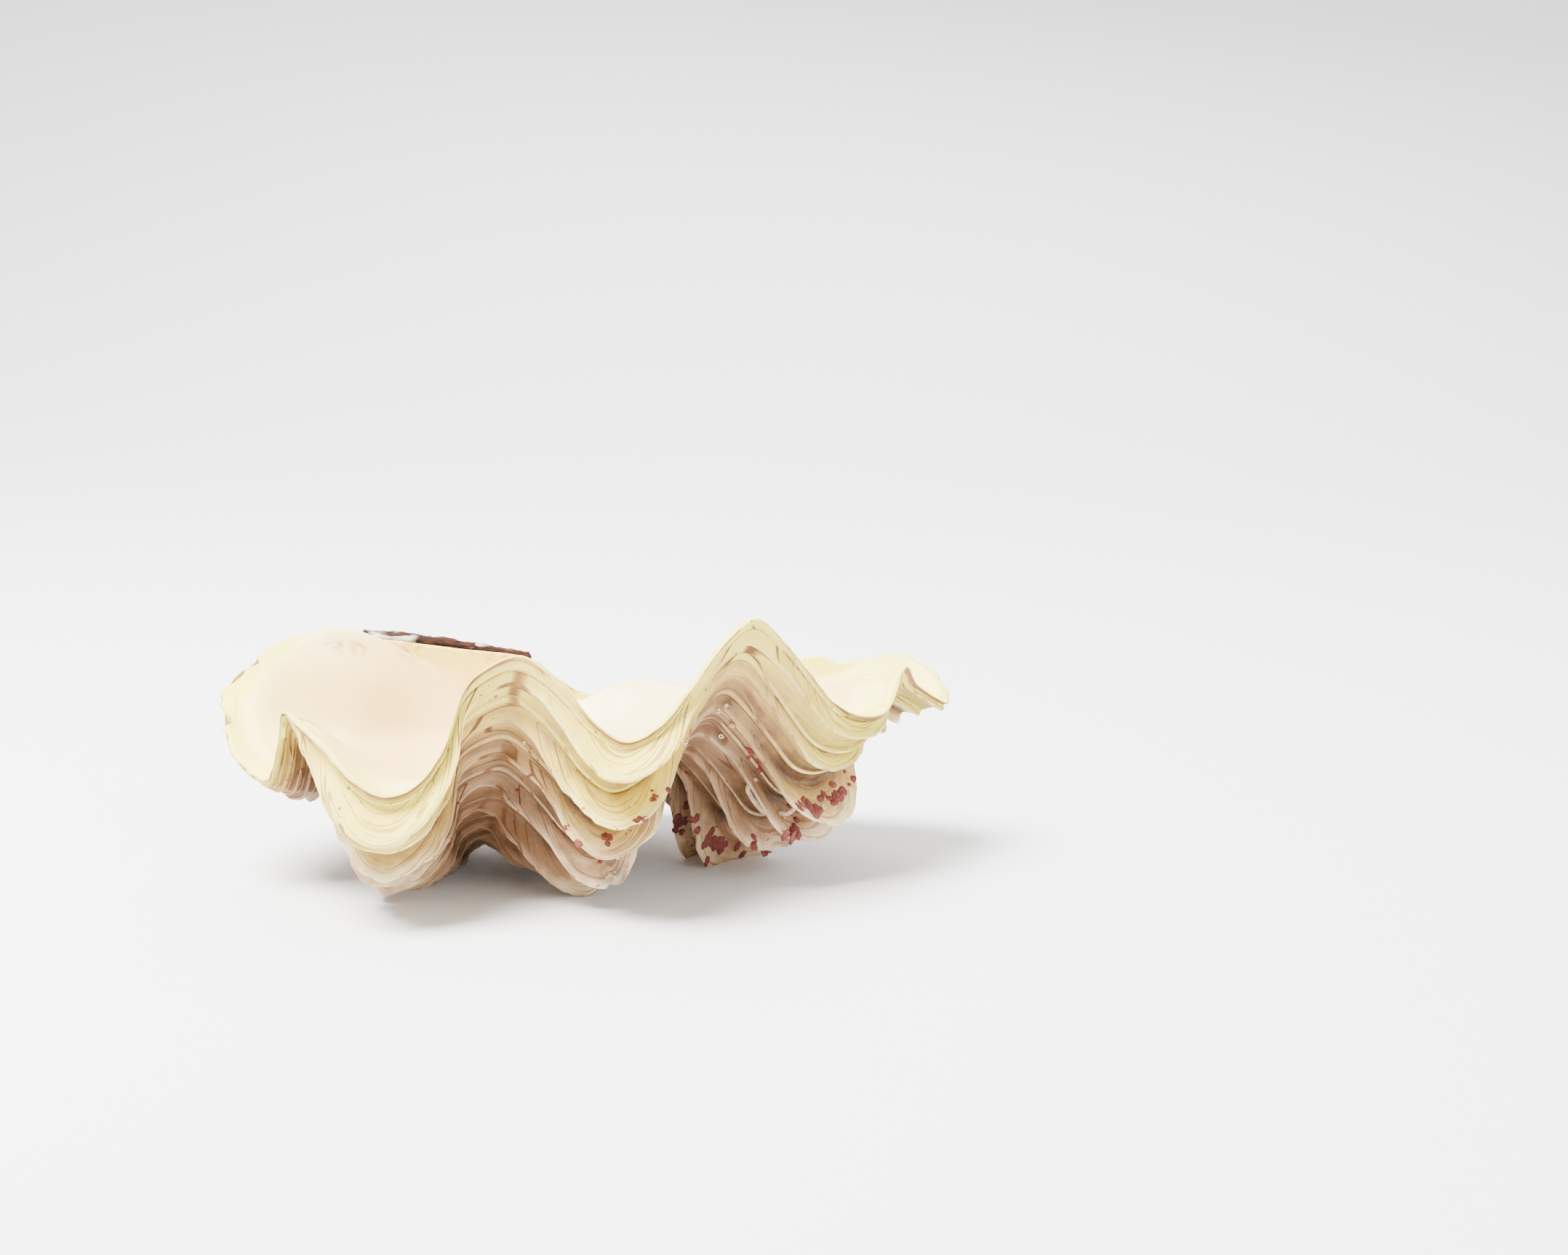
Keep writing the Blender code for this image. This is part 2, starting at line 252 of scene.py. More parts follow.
# the left ends of rib 2's older flutes stand out across the saddle, by this share of their reach
LEFT_ENDS = (0.9, 1.0, 1.0, 0.9, 0.8, 0.6, 0.3, 0.0, 0.0)
# and so do the left sides of rib 3's hoods, below the tallest crest
HOODS = (0.0, 0.0, 0.5, 0.6, 0.9, 0.9, 0.85, 0.0, 0.0)
STEPS = 9


# %% Small helpers
def smooth_step(low, high, value):
    share = np.clip((value - low) / (high - low), 0.0, 1.0)
    return share * share * (3.0 - 2.0 * share)


def unit(vectors):
    return vectors / np.maximum(np.linalg.norm(vectors, axis=-1, keepdims=True), 1e-9)


def roughness(place, seed, spacing):
    """Smooth random values between -1 and 1 along a line, one new value every spacing."""
    values = np.random.default_rng(seed).uniform(-1, 1, 4096)
    at = np.asarray(place) / spacing + 1000.0
    whole = np.floor(at).astype(int)
    part = at - whole
    part = part * part * (3 - 2 * part)
    return values[whole % 4096] * (1 - part) + values[(whole + 1) % 4096] * part


def margin_curve(steps):
    table = np.array(MARGIN)
    ribs, points = table[:, 0], table[:, 1:]
    count = len(points)
    gaps = np.sqrt(np.linalg.norm(np.roll(points, -1, axis=0) - points, axis=1))
    found_ribs, found = [], []
    for i in range(count):
        p = [points[(i + k) % count] for k in (-1, 0, 1, 2)]
        t0, t1, t2 = -gaps[i - 1], 0.0, gaps[i]
        t3 = t2 + gaps[(i + 1) % count]
        for k in range(steps):
            t = t2 * k / steps
            a1 = (t1 - t) / (t1 - t0) * p[0] + (t - t0) / (t1 - t0) * p[1]
            a2 = (t2 - t) / (t2 - t1) * p[1] + (t - t1) / (t2 - t1) * p[2]
            a3 = (t3 - t) / (t3 - t2) * p[2] + (t - t2) / (t3 - t2) * p[3]
            b1 = (t2 - t) / (t2 - t0) * a1 + (t - t0) / (t2 - t0) * a2
            b2 = (t3 - t) / (t3 - t1) * a2 + (t - t1) / (t3 - t1) * a3
            found.append((t2 - t) / (t2 - t1) * b1 + (t - t1) / (t2 - t1) * b2)
            step = ribs[(i + 1) % count] - ribs[i]
            found_ribs.append(ribs[i] + (step * k / steps if abs(step) < 1 else 0.0))
    return np.array(found_ribs), np.array(found)


# %% The growing shell
class Shell:
    """The present margin, and from it every older one."""

    def __init__(self, steps):
        self.ribs, self.points = margin_curve(steps)
        lengths = np.linalg.norm(np.roll(self.points, -1, axis=0) - self.points, axis=1)
        self.place = np.concatenate([[0.0], np.cumsum(lengths)[:-1]])
        self.whole = lengths.sum()
        self.lengths = lengths
        self.plain = self.blurred(self.points, 40.0)
        table = np.array(TURN_ON_RIBS)
        turns = np.interp(self.ribs, table[:, 0], table[:, 1])
        self.turns = self.blurred(turns[:, None], 10.0)[:, 0]
        self.back = self.blurred(smooth_step(BACK_FROM, BACK_TO, self.ribs)[:, None], 10.0)
        across_saddle = (self.ribs - SADDLE_RIB) / SADDLE_HALF_WIDTH
        self.saddle = np.exp(-(across_saddle**2))[:, None]
        flat = (self.ribs <= -0.5) | (self.ribs >= 4.5)
        self.arch_or_crest = np.where(flat, 0.0, 1.0)
        self.arch = np.where(flat, 0.0, 0.5 + 0.5 * np.cos(2 * math.pi * self.ribs))

    def blurred(self, values, reach):
        apart = np.abs(self.place[:, None] - self.place[None, :])
        apart = np.minimum(apart, self.whole - apart)
        weight = np.exp(-0.5 * (apart / reach) ** 2) * self.lengths[None, :]
        return weight @ values / weight.sum(axis=1, keepdims=True)

    def grown(self, size, plain=False):
        """The margin at a share of the present size: one share, or one for each column."""
        size = np.broadcast_to(np.asarray(size, float), self.ribs.shape)
        share = size[:, None]
        axis = AXIS / np.linalg.norm(AXIS)
        arms = (self.plain if plain else self.points) - BEAK
        along = (arms @ axis)[:, None] * axis
        across = arms - along
        whole = 0.22 * (1 - size**7) + 2.0 * (1 - size) ** 2.3
        faster = np.maximum(self.turns - 1, 0) * smooth_step(0.55, 0.85, size)
        angle = (whole * (np.minimum(self.turns, 1) + faster))[:, None]
        turned = across * np.cos(angle) + np.cross(axis, across) * np.sin(angle)
        bulge = self.back * BACK_BULGE * BACK_BULGE_SCALE
        bulge = bulge * share * np.sqrt(np.maximum(0.0, 1 - share))
        sag = self.saddle * SADDLE_SAG * np.exp(-(((share - SADDLE_SIZE) / SADDLE_SPREAD) ** 2))
        return BEAK + share * (along + turned) + bulge + sag

    def growth(self, size, plain=False):
        step = 0.004
        return (self.grown(size, plain) - self.grown(size - step, plain)) / step

    def outward(self, size, plain=False):
        ring = self.grown(size, plain)
        around = np.roll(ring, -1, axis=0) - np.roll(ring, 1, axis=0)
        found = unit(np.cross(around, self.growth(size, plain)))
        return unit(found * (1 - self.back) + BACK_OUTWARD * self.back)

    def lean(self, size):
        """The way a flute of this size stands out from the wall."""
        forward = unit(self.growth(size))
        out = unit(0.35 * self.outward(size) + 0.65 * self.outward(size, True))
        out = unit(out - (out * forward).sum(axis=1, keepdims=True) * forward)
        return math.cos(FLUTE_LEAN) * forward + math.sin(FLUTE_LEAN) * out

    def reach(self, flute):
        heights = np.array([reaches[flute] for reaches in FLUTE_REACH], float)
        nearest = np.clip(np.round(self.ribs), 0, len(heights) - 1).astype(int)
        rib_3 = np.exp(-(((self.ribs - 2.9) / 0.42) ** 2))
        fading = 0.95 + 0.35 * roughness(self.place, 140 + flute, 38) + 0.7 * rib_3
        least = 0.32 + 0.3 * roughness(self.place, 150 + flute, 14)
        reach = least + (heights[nearest] - least) * self.arch**fading
        left_of_rib_2 = smooth_step(1.40, 1.60, self.ribs) * (self.ribs < 2) * LEFT_ENDS[flute]
        left_of_rib_3 = smooth_step(2.56, 2.86, self.ribs) * (self.ribs < 3) * HOODS[flute]
        return np.maximum(reach, np.maximum(heights[2] * left_of_rib_2, heights[3] * left_of_rib_3))


shell = Shell(STEPS)
print("margin:", len(shell.points), "columns,", round(float(shell.whole)), "mm round")


# %% [markdown]
# ## The skin, ring by ring
# The skin starts at the beak and runs outwards: along the wall, out under a flute, round its
# chipped edge, back over it, on along the wall, and so on to the lip. Then it turns in and runs
# down the hollow to its floor. Each ring also says what it is, for the colours later.

# %% Rings of the outside
SMALL_FLUTES = (0.49, 0.59, 0.676, 0.75, 0.815, 0.87, 0.918, 0.9575, 0.9885)
# what a ring lies on: the bare wall, the lower or the upper side of a flute, or the hollow
WALL, UNDER, OVER, HOLLOW = range(4)
# how far a flute reaches down and up the wall, as shares of the present size
LARGE_BELOW, LARGE_ABOVE = 0.010, 0.013
SMALL_HALF = 0.0035
WALL_STEP = 0.010
rings = []
facts = []


def add_ring(ring, size, kind, tip=0.0):
    """A ring of points, and what it is. The tip is 1 at a flute's edge and 0 at its foot."""
    rings.append(ring)
    facts.append((size, kind, tip))


def curved(start, middle, end, t):
    """A place along the curve from start to end that is drawn towards the middle."""
    return (1 - t) ** 2 * start + 2 * t * (1 - t) * middle + t * t * end


def add_wall(size, mean):
    add_ring(shell.grown(size), mean, WALL)


def wander(size, seed):
    """A growth line is never quite parallel to its neighbours."""
    return size + 0.008 * roughness(shell.place, seed, 42) * shell.arch_or_crest


def add_flute(index):
    """One large flute, with a wavy chipped edge and a hollow upper side."""
    mean = FLUTE_SIZES[index]
    size = wander(mean, 160 + index)
    forward = unit(shell.growth(size))
    speed = np.linalg.norm(shell.growth(size), axis=1)
    lean = shell.lean(size)
    smooth = shell.reach(index)
    older = 1 - (mean - 0.4) / 0.6
    ragged = 0.17 * roughness(shell.place, 11 + index, 30) + 0.06 * roughness(shell.place, 31 + index, 8)
    chips = roughness(shell.place, 51 + index, 4.2)
    chips = np.maximum(0, chips - 0.55) * (0.5 + 1.2 * older)
    reach = smooth * (1 + ragged - 0.5 * chips) + 0.25 * roughness(shell.place, 41 + index, 2.6)
    reach = np.where(speed < 60, np.minimum(reach, 0.01 * speed), reach)[:, None]
    wave = 1.5 * roughness(shell.place, 71 + index, 15) + 0.55 * roughness(shell.place, 91 + index, 5)
    wave = (wave * shell.arch**0.5)[:, None]
    half = 0.5 + 0.2 * older + 0.12 * roughness(shell.place, 61 + index, 7)
    half = np.minimum(half, 0.006 * speed)[:, None]
    edge = shell.grown(size) + reach * lean + wave * forward
    low = shell.grown(size - LARGE_BELOW)
    high = shell.grown(size + LARGE_ABOVE)
    under = shell.grown(size - 0.004) + 0.30 * reach * lean + 0.6 * wave * forward
    over = shell.grown(size + 0.004) + 0.22 * reach * lean + 0.6 * wave * forward
    tip_low, tip_high = edge - half * forward, edge + half * forward
    for t in (0.0, 0.22, 0.5, 0.78):
        add_ring(curved(low, under, tip_low, t), mean - 0.006, UNDER, t)
    add_ring(edge - 0.85 * half * forward, mean, UNDER, 1.0)
    add_ring(edge + 0.55 * half * lean, mean, OVER, 1.0)
    add_ring(edge + 0.85 * half * forward, mean, OVER, 1.0)
    for t in (0.22, 0.5, 0.78, 1.0):
        add_ring(curved(tip_high, over, high, t), mean + 0.006, OVER, 1 - t)
    return size


def add_small_flute(mean, seed):
    """A low growth ridge between the large flutes."""
    size = wander(mean, seed + 60)
    forward = unit(shell.growth(size))
    speed = np.linalg.norm(shell.growth(size), axis=1)
    height = 0.14 + 0.14 * roughness(shell.place, seed + 40, 9)
    height = height + np.maximum(0, 0.5 + 1.3 * roughness(shell.place, seed, 24)) * shell.arch
    height = np.minimum(height, 0.006 * speed)[:, None]
    half = np.minimum(0.35, 0.002 * speed)[:, None]
    edge = shell.grown(size) + height * shell.lean(size)
    add_ring(shell.grown(size - SMALL_HALF), mean, UNDER)
    add_ring(edge - half * forward, mean, UNDER, 1.0)
    add_ring(edge + half * forward, mean, OVER, 1.0)
    add_ring(shell.grown(size + SMALL_HALF), mean, OVER)
    return size


for size in (0.02, 0.05, 0.09, 0.14, 0.20, 0.26, 0.32, 0.38, 0.415):
    add_wall(size, size)
events = [(mean, True, i) for i, mean in enumerate(FLUTE_SIZES)]
events = sorted(events + [(mean, False, i) for i, mean in enumerate(SMALL_FLUTES)])
for k, (mean, large, i) in enumerate(events):
    reached = add_flute(i) + LARGE_ABOVE if large else add_small_flute(mean, 200 + i) + SMALL_HALF
    after, next_large, until = 1.0, False, np.ones(len(shell.ribs))
    if k + 1 < len(events):
        after, next_large, next_i = events[k + 1]
        until = wander(after, (160 if next_large else 260) + next_i)
    until = until - (LARGE_BELOW if next_large else SMALL_HALF)
    steps = int((after - mean) / WALL_STEP) - 1
    for step in range(steps):
        share = (step + 1) / (steps + 1)
        add_wall(reached + (until - reached) * share, mean + (after - mean) * share)
print("rings outside:", len(rings))


# %% [markdown]
# ## The hollow
# Inside, the folds fade away from the lip and the surface becomes a smooth thick-walled bowl. It
# stays a wall's thickness above the outside everywhere, so the heights are measured on the wall.

# %% Rings of the hollow
LIP = 2.2
HOLLOW_STEPS = 34


def wall_tree():
    """The bare wall without flutes, to measure heights on."""
    sizes = np.linspace(0.20, 1.0, 61)
    found = [shell.grown(size) for size in sizes]
    count = len(shell.points)
    faces = []
    for j in range(len(sizes) - 1):
        for i in range(count):
            after = (i + 1) % count
            faces.append((j * count + i, j * count + after, (j + 1) * count + after, (j + 1) * count + i))
    return BVHTree.FromPolygons([Vector(p) for p in np.concatenate(found)], faces)


def wall_height(tree, x, y, spread, otherwise):
    """How high the wall stands round a place, in a patch that is this wide."""
    heights = []
    for k in range(13):
        angle = 2 * math.pi * k / 6
        out = spread * (0.0 if k == 12 else 0.5 if k > 5 else 1.0)
        above = Vector((x + out * math.cos(angle), y + out * math.sin(angle), 300.0))
        hit = tree.ray_cast(above, Vector((0, 0, -1)))[0]
        if hit:
            heights.append(hit.z)
    return float(np.percentile(heights, PATCH_SHARE)) if heights else otherwise


def add_hollow():
    """From the worn lip the rings slide to the floor, and their heights follow wall and bowl."""
    tree = wall_tree()
    flat = np.array([1.0, 1.0, 0.0])
    inward = unit((HOLLOW_FLOOR - shell.points) * flat)
    thin = 0.25 * roughness(shell.place, 5, 9)[:, None]
    worn = smooth_step(0.35, 0.0, shell.ribs) + smooth_step(4.0, 4.4, shell.ribs)
    worn = (0.3 + 1.6 * worn) * (0.8 * roughness(shell.place, 6, 2.7) + 0.6 * roughness(shell.place, 7, 7.0))
    lip = shell.points - worn[:, None] * inward
    add_ring(lip - np.array([0, 0, 0.45]), 1.0, WALL, 1.0)
    add_ring(lip + 0.5 * inward + np.array([0, 0, 0.1]), 1.0, HOLLOW, 1.0)
    soft = 0.9 * roughness(shell.place, 8, 13.0) + 0.3 * roughness(shell.place, 9, 5.0)
    start = shell.points + (LIP + thin) * inward - np.array([0, 0, 0.3])
    add_ring(start, 1.0, HOLLOW, 0.8)
    for k in range(1, HOLLOW_STEPS):
        t = (k / HOLLOW_STEPS) ** 1.35
        ring = curved(start, start + 0.35 * (HOLLOW_BEND - start), HOLLOW_FLOOR, t)
        ring[:, :2] = shell.blurred(ring[:, :2], 0.4 + 30.0 * t)
        fade = smooth_step(0.0, 0.45, t)
        thickness = 1.5 + 6.5 * smooth_step(0.0, 0.16, t)
        edge = start[:, 2] + (shell.plain[:, 2] - start[:, 2]) * fade
        bowl = HOLLOW_FLOOR[2] + (edge - HOLLOW_FLOOR[2]) * (1 - t) ** 1.7
        for i, (x, y, _) in enumerate(ring):
            wall = thickness + wall_height(tree, x, y, 1.0 + 16.0 * t, bowl[i] - 8.0)
            ring[i, 2] = 0.5 * (wall + bowl[i] + math.sqrt((wall - bowl[i]) ** 2 + 9.0 * fade))
        ring[:, 2] = shell.blurred(ring[:, 2:], 1.5 + 28.0 * t)[:, 0]
        ring[:, 2] += soft * smooth_step(0.03, 0.16, t) * smooth_step(0.62, 0.22, t)
        add_ring(ring, 1.0, HOLLOW, max(0.0, 0.75 - 4 * t))


add_hollow()
print("rings in all:", len(rings), "columns:", len(shell.points))


# %% [markdown]
# ## From rings to a mesh
# A ball with one circle of points for each ring is already closed, so its points are simply
# moved onto the rings. The facts about each ring become attributes that the material reads.

# %% The skin maker
def skin(name, rings, first_pole, last_pole, clamp=True):
    """A closed mesh over the rings, kept above the floor if clamped, and each vertex's ring and column."""
    count = len(rings[0])
    bm = bmesh.new()
    bmesh.ops.create_uvsphere(bm, u_segments=count, v_segments=len(rings) + 1, radius=1.0)
    mesh = bpy.data.meshes.new(name)
    bm.to_mesh(mesh)
    bm.free()
    ball = np.empty(len(mesh.vertices) * 3, np.float32)
    mesh.vertices.foreach_get("co", ball)
    ball = ball.reshape(-1, 3).astype(float)
    down = np.arccos(np.clip(ball[:, 2], -1, 1)) / math.pi * (len(rings) + 1)
    ring = np.round(down).astype(int) - 1
    column = np.round(np.arctan2(ball[:, 1], ball[:, 0]) / (2 * math.pi) * count).astype(int) % count
    inside = (ring >= 0) & (ring < len(rings))
    every = np.array(rings)
    place = every[np.clip(ring, 0, len(rings) - 1), column]
    place[ring < 0] = first_pole
    place[ring >= len(rings)] = last_pole
    if clamp:
        place[:, 2] = np.maximum(place[:, 2], FLOOR_Z)
    place = (place - ORIGIN) * MM
    mesh.vertices.foreach_set("co", place.astype(np.float32).ravel())
    mesh.update()
    test = bmesh.new()
    test.from_mesh(mesh)
    if test.calc_volume(signed=True) < 0:
        mesh.flip_normals()
    test.free()
    mesh.shade_smooth()
    return mesh, np.clip(ring, 0, len(rings) - 1), column


def write_attributes(mesh, **named_values):
    for name, values in named_values.items():
        made = mesh.attributes.new(name, "FLOAT", "POINT")
        made.data.foreach_set("value", np.asarray(values, np.float32))


# %% The shell's skin
floor_of_hollow = rings[-1].mean(axis=0)
mesh, ring_of, column_of = skin("shell_skin", rings, BEAK, floor_of_hollow)
facts = np.array(facts)
size_of, kind_of, tip_of = facts[ring_of].T
# about how many mm the shell has grown to reach each point, out to a flute's edge and back too
GROWN_IN_ALL, FLUTE_SIDE = 130, 6
over_way = (2 - tip_of) * FLUTE_SIDE
flute_way = np.where(kind_of == UNDER, FLUTE_SIDE * tip_of, np.where(kind_of == OVER, over_way, 0.0))
growth_way = GROWN_IN_ALL * size_of + flute_way * shell.arch[column_of]
write_attributes(
    mesh,
    size=size_of,
    hollow=kind_of == HOLLOW,
    over=kind_of == OVER,
    tip=tip_of,
    arch=shell.arch[column_of],
    around=shell.place[column_of],
    along=growth_way,
)
valve = link("shell_skin", mesh)
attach(valve, "root")
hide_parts("shell")
print("skin:", len(mesh.polygons), "faces")


# %% [markdown]
# ## Materials
# Small helpers string shader nodes together. The colours are mixed inside node groups that read
# only the attributes and object coordinates, and the Principled shader stays in each material.

# %% Node helpers
class Nodes:
    """Adds nodes to one tree and joins them."""

    def __init__(self, tree):
        self.tree = tree

    def add(self, kind, **settings):
        node = self.tree.nodes.new(kind)
        for key, value in settings.items():
            setattr(node, key, value)
        return node

    def join(self, value, socket):
        if isinstance(value, bpy.types.NodeSocket):
            self.tree.links.new(value, socket)
        elif isinstance(value, (tuple, list)) and len(value) == 3 and socket.type == "RGBA":
            socket.default_value = (*value, 1.0)
        else:
            socket.default_value = value

    def attribute(self, name):
        return self.add("ShaderNodeAttribute", attribute_name=name).outputs["Fac"]

    def math(self, operation, a, b=0.0, clamp=False):
        node = self.add("ShaderNodeMath", operation=operation, use_clamp=clamp)
        self.join(a, node.inputs[0])
        self.join(b, node.inputs[1])
        return node.outputs[0]

    def both(self, *masks):
        """The product of masks or values."""
        made = masks[0]
        for mask in masks[1:]:
            made = self.math("MULTIPLY", made, mask)
        return made

    def most(self, *masks):
        """The largest of masks or values."""
        made = masks[0]
        for mask in masks[1:]:
            made = self.math("MAXIMUM", made, mask)
        return made

    def ramp(self, value, low, high, to_low=0.0, to_high=1.0):
        node = self.add("ShaderNodeMapRange", interpolation_type="SMOOTHSTEP", clamp=True)
        self.join(value, node.inputs["Value"])
        self.join(low, node.inputs["From Min"])
        self.join(high, node.inputs["From Max"])
        self.join(to_low, node.inputs["To Min"])
        self.join(to_high, node.inputs["To Max"])
        return node.outputs["Result"]

    def noise(self, scale, detail=3.0, rough=0.55, vector=None):
        node = self.add("ShaderNodeTexNoise")
        node.inputs["Scale"].default_value = scale
        node.inputs["Detail"].default_value = detail
        node.inputs["Roughness"].default_value = rough
        self.join(vector if vector is not None else self.object_place(), node.inputs["Vector"])
        return node.outputs["Fac"]

    def object_place(self):
        return self.add("ShaderNodeTexCoord").outputs["Object"]

    def xyz(self, x, y, z=0.0):
        node = self.add("ShaderNodeCombineXYZ")
        for value, socket in zip((x, y, z), node.inputs):
            self.join(value, socket)
        return node.outputs[0]

    def blend(self, share, a, b):
        node = self.add("ShaderNodeMix", data_type="RGBA")
        self.join(share, node.inputs["Factor"])
        self.join(a, node.inputs["A"])
        self.join(b, node.inputs["B"])
        return node.outputs["Result"]

    def deeper(self, colour, power):
        """The same colour, richer and darker, as the bright light washes colours out."""
        node = self.add("ShaderNodeGamma")
        self.join(colour, node.inputs["Color"])
        node.inputs["Gamma"].default_value = power
        return node.outputs[0]

    def near(self, centre, radius, soft=0.5):
        """1 within radius of a place in mm from the origin, fading out over the soft share of it."""
        node = self.add("ShaderNodeVectorMath", operation="DISTANCE")
        self.join(self.object_place(), node.inputs[0])
        node.inputs[1].default_value = [c * MM for c in centre]
        return self.ramp(node.outputs["Value"], radius * MM * (1 - soft), radius * MM, 1.0, 0.0)


def new_group(name):
    """An empty node group for a colour, a roughness and a height in metres."""
    group = bpy.data.node_groups.new(name, "ShaderNodeTree")
    for label, kind in (("Colour", "Color"), ("Roughness", "Float"), ("Height", "Float")):
        group.interface.new_socket(name=label, in_out="OUTPUT", socket_type="NodeSocket" + kind)
    return group, Nodes(group)


def finish_group(group, n, colour, rough, height):
    out = n.add("NodeGroupOutput")
    n.join(colour, out.inputs["Colour"])
    n.join(rough, out.inputs["Roughness"])
    n.join(height, out.inputs["Height"])
    return group


def new_material(name, group, **values):
    """A Principled material that takes its colour, roughness and bump from a node group."""
    made = bpy.data.materials.new(name)
    made.use_nodes = True
    tree = made.node_tree
    shader = tree.nodes["Principled BSDF"]
    for key, value in values.items():
        shader.inputs[key.replace("_", " ")].default_value = value
    use = tree.nodes.new("ShaderNodeGroup")
    use.node_tree = group
    tree.links.new(use.outputs["Colour"], shader.inputs["Base Color"])
    tree.links.new(use.outputs["Roughness"], shader.inputs["Roughness"])
    bump = tree.nodes.new("ShaderNodeBump")
    bump.inputs["Strength"].default_value = 1.0
    bump.inputs["Distance"].default_value = 1.0
    tree.links.new(use.outputs["Height"], bump.inputs["Height"])
    tree.links.new(bump.outputs["Normal"], shader.inputs["Normal"])
    return made


# %% [markdown]
# ### The shell's colours
# The hollow is creamy with a touch of peach. Young shell near the margin is lemon yellow, deepest
# inside the last flutes. Older flutes are pinkish beige and greyer, with pale worn edges and painted
# shade where they join the wall. Fine growth lines run round everything outside.

# %% Shell material
OUTSIDE_DEPTH, INSIDE_DEPTH = 3.6, 2.9
GREY_STAINS = (
    # place in mm, radius, and how patchy: from and to on the noise
    ((9.0, -41.0, 10.0), 7.0, (0.48, 0.56)),
    ((57.0, -16.0, 22.0), 8.0, (0.50, 0.60)),
)
HINGE_STAINS = (
    # place in mm and radius
    ((-76.5, 46.0, 61.5), 4.5),
    ((-83.0, 42.0, 63.0), 5.0),
    ((-43.0, 53.0, 59.0), 5.0),
    ((-31.0, 56.0, 56.5), 9.0),
    ((-60.0, 52.5, 60.0), 6.0),
)


def outside_colours(n, outside, lines, contour, blotchy, cloudy, grainy):
    size, tip, arch = n.attribute("size"), n.attribute("tip"), n.attribute("arch")
    around, along = n.attribute("around"), n.attribute("along")

    # young yellow to old beige
    cloud = n.math("MULTIPLY", n.math("SUBTRACT", cloudy, 0.5), 0.10)
    young = n.ramp(n.math("ADD", size, cloud), 0.84, 0.985)
    old_colour = n.blend(n.ramp(blotchy, 0.35, 0.7), (0.73, 0.62, 0.51), (0.89, 0.80, 0.68))
    old_colour = n.blend(n.ramp(cloudy, 0.45, 0.75, 0.0, 0.6), old_colour, (0.82, 0.68, 0.58))
    young_colour = n.blend(n.ramp(blotchy, 0.3, 0.7), (0.89, 0.82, 0.46), (0.93, 0.88, 0.60))
    colour = n.blend(young, old_colour, young_colour)

    # deep yellow on the young flutes, and pale worn edges on all of them
    scoop = n.both(n.attribute("over"), arch, n.ramp(size, 0.88, 0.97), 0.85)
    colour = n.blend(scoop, colour, (0.94, 0.88, 0.38))
    pale = n.both(n.ramp(tip, 0.6, 1.0), n.ramp(blotchy, 0.25, 0.6, 0.45, 0.95))
    pale_colour = n.blend(young, (0.93, 0.87, 0.76), (0.96, 0.92, 0.72))
    colour = n.blend(pale, colour, pale_colour)

    # growth lines and wider streaks
    colour = n.blend(n.both(n.ramp(lines, 0.56, 0.72), 0.42, outside), colour, (0.60, 0.44, 0.32))
    streak_place = n.xyz(n.math("MULTIPLY", along, 0.22), n.math("MULTIPLY", around, 0.05), 3.0)
    streaks = n.noise(1.0, 3.0, 0.6, streak_place)
    colour = n.blend(n.both(n.ramp(streaks, 0.52, 0.75), 0.4), colour, (0.76, 0.58, 0.44))

    # dull flanks of the ribs, and the fresh yellow just below the lip
    flank = n.both(n.ramp(arch, 0.85, 0.3), n.ramp(blotchy, 0.3, 0.65, 0.4, 0.9))
    flank = n.both(flank, n.ramp(size, 0.985, 0.93, 0.25, 1.0), outside)
    flank_colour = n.blend(n.ramp(size, 0.86, 0.95), (0.70, 0.61, 0.51), (0.80, 0.69, 0.49))
    colour = n.blend(flank, colour, flank_colour)
    fresh = n.both(n.ramp(size, 0.93, 0.96), n.ramp(cloudy, 0.35, 0.6, 0.2, 0.7), outside)
    colour = n.blend(fresh, colour, (0.95, 0.90, 0.54))
    colour = n.blend(contour, colour, (0.52, 0.38, 0.27))

    # painted shade in the angles where the flutes meet the wall, specks, and a brown band just outside the
    # lip
    # painted shade: a darker brown at the feet of the flutes stands in for the shadow under their overhangs
    foot = n.both(n.ramp(tip, 0.0, 0.6, 1.0, 0.0), n.ramp(size, 0.995, 0.90))
    painted_foot_shade = n.both(foot, n.ramp(blotchy, 0.35, 0.65, 0.5, 0.95), n.ramp(arch, 0.0, 0.7, 0.45, 1.0))
    colour = n.blend(painted_foot_shade, colour, (0.46, 0.36, 0.27))
    specks = n.both(n.ramp(n.noise(420.0, 2.0, 0.5), 0.68, 0.74), n.ramp(cloudy, 0.42, 0.6), 0.55)
    colour = n.blend(specks, colour, (0.40, 0.33, 0.28))
    band = n.both(n.ramp(size, 0.989, 0.993), n.ramp(size, 0.9998, 0.998))
    band = n.both(band, n.ramp(cloudy, 0.32, 0.52), 0.8)
    colour = n.blend(band, colour, (0.68, 0.51, 0.36))

    # brown below the saddle, and grey stains
    saddle = n.both(n.near((-26.0, -18.0, 20.0), 26.0, 0.7), n.ramp(blotchy, 0.3, 0.6, 0.4, 1.0), 0.55)
    colour = n.blend(saddle, colour, (0.60, 0.47, 0.37))
    grey = n.both(n.near((-19.0, -34.0, 31.0), 5.0, 0.8), n.ramp(grainy, 0.45, 0.6))
    for place, radius, patchy in GREY_STAINS:
        grey = n.most(grey, n.both(n.near(place, radius, 0.8), n.ramp(blotchy, *patchy)))
    return n.blend(n.both(grey, 0.7), colour, (0.50, 0.46, 0.45))


